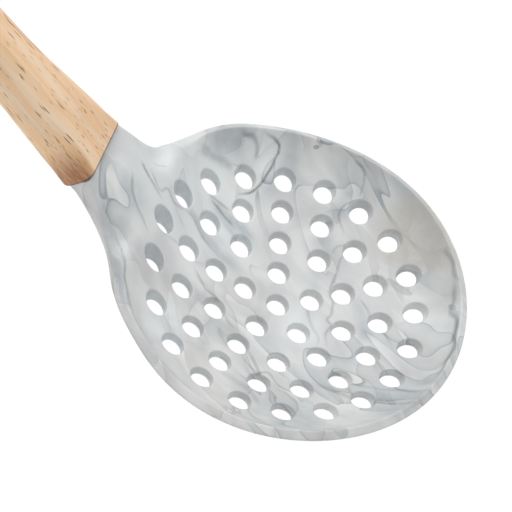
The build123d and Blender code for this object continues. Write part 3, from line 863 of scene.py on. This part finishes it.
def wood_material():
    """Oiled light hardwood: peach-brown, with dark pores along the grain, a darker reddish-brown patch on the
    low side by the neck, and painted shade where it meets the silicone.
    """
    n = Nodes("light_hardwood")
    where = n.node("ShaderNodeTexCoord").outputs["Object"]
    turned, (down, across, _) = along_handle(n, where)
    wave = n.node("ShaderNodeTexNoise", {"Vector": turned, "Scale": 30.0, "Detail": 2.0}).outputs["Color"]
    warp = n.node("ShaderNodeVectorMath", {0: wave, 1: (0.0, 0.003, 0.003)}, operation="MULTIPLY").outputs[0]
    grain = n.node("ShaderNodeVectorMath", {0: turned, 1: warp}, operation="ADD").outputs[0]

    def pores(length, width, chance, seed):
        moved = n.node("ShaderNodeVectorMath", {0: grain, 1: (seed, seed * 0.7, seed * 0.3)}, operation="ADD")
        scaled = n.stretch(moved.outputs[0], (1 / length, 1 / width, 1 / width))
        cells = n.node("ShaderNodeTexVoronoi", {"Vector": scaled, "Scale": 1.0, "Randomness": 1.0})
        pick = n.node("ShaderNodeSeparateColor", {0: cells.outputs["Color"]}).outputs[0]
        spot = n.spread(cells.outputs["Distance"], 0.10, 0.22, 1.0, 0.0)
        return n.math("MULTIPLY", spot, n.spread(pick, 1 - chance, 1 - chance + 0.08))

    bands = n.noise(n.stretch(grain, (3.0, 60.0, 60.0)), 3.2, 4.0, 0.55, 0.6)
    fibre = n.noise(n.stretch(grain, (18.0, 900.0, 900.0)), 1.0, 4.0, 0.6)
    broad = n.noise(n.stretch(grain, (8.0, 40.0, 40.0)), 1.0, 2.0)
    clusters = n.spread(n.noise(n.stretch(grain, (22.0, 120.0, 120.0)), 1.0, 2.0), 0.34, 0.54, 0.35, 1.0)
    dense = n.spread(down, JOINT_PLACE - 0.014, JOINT_PLACE - 0.003)
    low_side = n.spread(across, -0.0080, -0.0112)
    corner = n.math("MULTIPLY", dense, low_side)

    colour = n.mix(n.spread(bands, 0.3, 0.7), tint(252, 209, 160), tint(255, 230, 200))
    colour = n.mix(n.math("MULTIPLY", n.spread(broad, 0.45, 0.7), 0.32), colour, tint(240, 188, 148))
    colour = n.mix(n.math("MULTIPLY", n.spread(fibre, 0.42, 0.75), 0.28), colour, tint(206, 152, 106))
    # Darker reddish-brown on the low side by the neck, with more pores there.
    low_side_brown = n.math("MULTIPLY", corner, n.spread(fibre, 0.3, 0.6, 0.6, 1.0))
    colour = n.mix(n.math("MULTIPLY", low_side_brown, 0.85), colour, tint(160, 98, 56))
    spots = n.math("MAXIMUM", pores(0.012, 0.0009, 0.85, 0.13), pores(0.046, 0.0010, 0.9, 0.41))
    spots = n.math("MULTIPLY", spots, clusters)
    spots = n.math("MAXIMUM", spots, n.math("MULTIPLY", pores(0.006, 0.0006, 0.7, 0.53), 0.75))
    spots = n.math("MAXIMUM", spots, n.math("MULTIPLY", pores(0.008, 0.0007, 0.9, 0.77), corner))
    colour = n.mix(n.math("MULTIPLY", spots, 0.85), colour, tint(118, 54, 16))
    # Painted shade in the thin gap where the wood meets the silicone.
    joint_shade = n.spread(down, JOINT_PLACE - 0.0007, JOINT_PLACE - 0.0003)
    colour = n.mix(n.math("MULTIPLY", joint_shade, 0.8), colour, tint(96, 66, 46))
    rough = n.spread(fibre, 0.2, 0.8, 0.42, 0.58)
    n.bump(n.math("SUBTRACT", n.math("MULTIPLY", fibre, 0.5), spots), 0.25, 0.0003)
    return n.finish(Base_Color=colour, Roughness=rough, Specular_IOR_Level=0.35)


def moulded_material(name, colour, roughness):
    """Moulded plastic or cured glue with a faint mottle and a fine moulded texture."""
    n = Nodes(name)
    where = n.node("ShaderNodeTexCoord").outputs["Object"]
    mottle = n.noise(where, 180.0, 4.0)
    fine = n.noise(where, 1500.0, 3.0)
    darker = tuple(channel * 0.8 for channel in colour[:3]) + (1.0,)
    shade = n.mix(n.spread(mottle, 0.3, 0.7), darker, colour)
    n.bump(fine, 0.15, 0.0002)
    rough = n.spread(mottle, 0.3, 0.7, roughness - 0.06, roughness + 0.06)
    return n.finish(Base_Color=shade, Roughness=rough)


# --- Put together ----------------------------------------------------------------------------------
def new_piece(name, data, material, node):
    piece = bpy.data.objects.new(name, data)
    bpy.context.scene.collection.objects.link(piece)
    data.materials.append(material)
    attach(piece, "root")
    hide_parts(node)
    return piece


head_data = build_head()
paint_marble_and_shade(head_data)
new_piece("silicone_bowl", head_data, silicone_material(), "silicone_head")

handle = new_piece("handle_wood", build_handle(), wood_material(), "wood_handle")
cut_hang_hole(handle)
handle.data.shade_smooth()
handle.data.set_sharp_from_angle(angle=radians(40))

for node, material in (
    ("core", moulded_material("glass_filled_nylon", grey(0.36), 0.55)),
    ("glue_bond", moulded_material("cured_epoxy", tint(214, 196, 150), 0.35)),
):
    cad_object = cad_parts[node]
    cad_object.data.materials.clear()
    cad_object.data.materials.append(material)


# --- Studio ------------------------------------------------------------------------------------------
FLOOR_HALF, FLOOR_DROP, FLOOR_GLOW = 8.0, 0.50, 0.35    # metres, metres, strength
WORLD_LIGHT, BACKDROP = 0.49, 1.0       # white light on the skimmer, and what the camera sees
# A helper program fitted the camera and lens to the drain holes' places in the photograph.
CAMERA_PLACE = Vector((-22.16, -395.73, 559.79))        # millimetres
CAMERA_RIGHT = Vector((0.9175, 0.3124, 0.2462)).normalized()
CAMERA_BACK = Vector((-0.0152, -0.5910, 0.8065))
LENS, SENSOR, CAMERA_RANGE = 160.8, 36.0, 20.0      # millimetres, millimetres, metres


def floor():
    """Pale floor well below the skimmer."""
    build = bmesh.new()
    size, level = FLOOR_HALF, cad_box[0][2] - FLOOR_DROP
    corners = [(-size, -size), (size, -size), (size, size), (-size, size)]
    build.faces.new([build.verts.new((x, y, level)) for x, y in corners])
    data = bpy.data.meshes.new("floor")
    build.to_mesh(data)
    build.free()
    n = Nodes("pale_floor")
    grain = n.noise(n.node("ShaderNodeTexCoord").outputs["Object"], 20.0, 2.0)
    shade = n.mix(grain, (0.93, 0.93, 0.93, 1.0), (0.96, 0.96, 0.96, 1.0))
    glow = {"Emission_Color": shade, "Emission_Strength": FLOOR_GLOW}
    data.materials.append(n.finish(Base_Color=shade, Roughness=0.9, **glow))
    piece = bpy.data.objects.new("floor", data)
    bpy.context.scene.collection.objects.link(piece)


def soft_light(name, spot, size, power):
    """Round area light aimed at the origin, in metres and watts."""
    lamp = bpy.data.lights.new(name, "AREA")
    lamp.shape, lamp.size, lamp.energy = "DISK", size, power
    piece = bpy.data.objects.new(name, lamp)
    piece.location = spot
    piece.rotation_euler = (-Vector(spot)).to_track_quat("-Z", "Y").to_euler()
    bpy.context.scene.collection.objects.link(piece)


def camera():
    """Long lens looking down on the bowl, rolled so that the handle runs up left."""
    lens = bpy.data.cameras.new("camera")
    lens.sensor_width, lens.lens, lens.clip_end = SENSOR, LENS, CAMERA_RANGE
    piece = bpy.data.objects.new("camera", lens)
    right = CAMERA_RIGHT
    back = (CAMERA_BACK - right * CAMERA_BACK.dot(right)).normalized()
    turn = Matrix((right, back.cross(right), back)).transposed().to_4x4()
    piece.matrix_world = Matrix.Translation(CAMERA_PLACE * MM) @ turn
    bpy.context.scene.collection.objects.link(piece)
    bpy.context.scene.camera = piece


def studio_world():
    """White surroundings that light the skimmer softly."""
    world = bpy.data.worlds.new("studio")
    world.use_nodes = True
    tree = world.node_tree
    rays = tree.nodes.new("ShaderNodeLightPath")
    strength = tree.nodes.new("ShaderNodeMapRange")
    strength.inputs["To Min"].default_value = WORLD_LIGHT
    strength.inputs["To Max"].default_value = BACKDROP
    tree.links.new(rays.outputs["Is Camera Ray"], strength.inputs["Value"])
    tree.links.new(strength.outputs[0], tree.nodes["Background"].inputs["Strength"])
    tree.nodes["Background"].inputs["Color"].default_value = (1.0, 1.0, 1.0, 1.0)
    bpy.context.scene.world = world


studio_world()
floor()
soft_light("key", spot=(-0.35, 0.45, 1.0), size=0.8, power=6.3)
soft_light("fill", spot=(0.7, -0.6, 0.8), size=1.0, power=1.5)
camera()

bpy.context.scene.view_settings.view_transform = "Standard"
